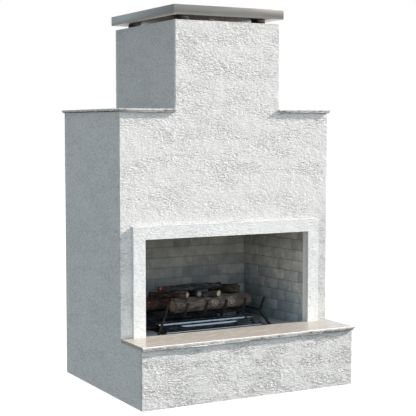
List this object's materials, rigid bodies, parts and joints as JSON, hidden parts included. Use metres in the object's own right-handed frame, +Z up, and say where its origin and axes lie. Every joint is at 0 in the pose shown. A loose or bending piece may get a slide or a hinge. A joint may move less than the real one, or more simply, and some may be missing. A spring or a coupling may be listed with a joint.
{
  "type": "outdoor fireplace",
  "caption": "Free-standing outdoor gas fireplace: stucco cabinet with a raised stone hearth, brick-lined firebox, log grate over a burner, and a capped chimney.",
  "frame": {"origin": "on the ground, under the middle of the bounding box", "axes": "+X to the right seen from the front, +Y from front to back, +Z up"},
  "size_m": [1.245, 1.016, 1.965],
  "materials": {
    "stucco": "rough skip-trowel stucco",
    "travertine": "polished top, chiselled edge",
    "cement_board": "bare board",
    "firebrick": "matt cast brick",
    "galvanised_steel": "galvanised",
    "cap_steel": "brushed",
    "black_steel": "matt heat-proof paint",
    "black_enamel": "glossy enamel",
    "black_plastic": "moulded",
    "black_iron": "black pipe",
    "log_ceramic": "painted bark",
    "charcoal_ceramic": "charred bark"
  },
  "bodies": {
    "fireplace": {"front_wall": "stucco", "rear_wall": "stucco", "left_wall": "stucco", "right_wall": "stucco", "hearth_front_wall": "stucco", "opening_surround": "stucco", "chimney_left_wall": "stucco", "chimney_right_wall": "stucco", "hearth_slab": "travertine", "shoulder_slab_left": "travertine", "shoulder_slab_right": "travertine", "shoulder_deck": "cement_board", "hearth_deck": "cement_board", "firebox_back": "firebrick", "firebox_left": "firebrick", "firebox_right": "firebrick", "firebox_floor": "firebrick", "firebox_header": "firebrick", "base_frame": "galvanised_steel", "post_front_left": "galvanised_steel", "post_front_right": "galvanised_steel", "post_rear_left": "galvanised_steel", "post_rear_right": "galvanised_steel", "chimney_post_front_left": "galvanised_steel", "chimney_post_front_right": "galvanised_steel", "chimney_post_rear_left": "galvanised_steel", "chimney_post_rear_right": "galvanised_steel", "firebox_platform": "galvanised_steel", "smoke_hood": "galvanised_steel", "flue_pipe": "galvanised_steel", "chimney_top_plate": "galvanised_steel", "lintel_angle": "galvanised_steel", "chimney_cap": "cap_steel", "cap_soffit": "cap_steel", "cap_foot_front_left": "black_steel", "cap_foot_front_right": "black_steel", "cap_foot_rear_left": "black_steel", "cap_foot_rear_right": "black_steel", "burner_tray": "black_steel", "burner_tube": "black_steel", "gas_valve_box": "black_steel", "burner_hood": "black_enamel", "gas_supply_pipe": "black_iron"},
    "gas_knob": {"gas_knob": "black_plastic"},
    "igniter_button": {"igniter_button": "black_plastic"},
    "grate_and_logs": {"grate_bar_1": "black_steel", "grate_bar_2": "black_steel", "grate_bar_3": "black_steel", "grate_bar_4": "black_steel", "grate_bar_5": "black_steel", "grate_bar_6": "black_steel", "grate_rail_front": "black_steel", "grate_rail_rear": "black_steel", "log_front": "log_ceramic", "log_rear": "log_ceramic", "log_cross_left": "log_ceramic", "log_cross_middle": "log_ceramic"},
    "upper_front_log": {"log_upper_front": "log_ceramic"},
    "upper_long_log": {"log_upper_long": "charcoal_ceramic"},
    "upper_right_log": {"log_upper_right": "log_ceramic"}
  },
  "joints": [
    {"name": "gas_knob_turn", "type": "hinge", "parent": "fireplace", "child": "gas_knob", "pos_m": [-0.4221, -0.026, 0.317], "axis": [0, -1, 0], "range_deg": [0, 90]},
    {"name": "igniter_press", "type": "slide", "parent": "fireplace", "child": "igniter_button", "axis": [0, 1, 0], "range_m": [0, 0.006], "stiffness_N_per_m": 400, "springref_m": -0.003},
    {"name": "grate_lift_out", "type": "slide", "parent": "fireplace", "child": "grate_and_logs", "axis": [0, -0.9659, 0.2588], "range_m": [0, 0.84]},
    {"name": "upper_front_log_lift", "type": "slide", "parent": "grate_and_logs", "child": "upper_front_log", "axis": [0, -0.866, 0.5], "range_m": [0, 0.85]},
    {"name": "upper_long_log_lift", "type": "slide", "parent": "grate_and_logs", "child": "upper_long_log", "axis": [0, -0.866, 0.5], "range_m": [0, 0.85]},
    {"name": "upper_right_log_lift", "type": "slide", "parent": "grate_and_logs", "child": "upper_right_log", "axis": [0.1801, -0.8471, 0.5], "range_m": [0, 0.85]}
  ]
}
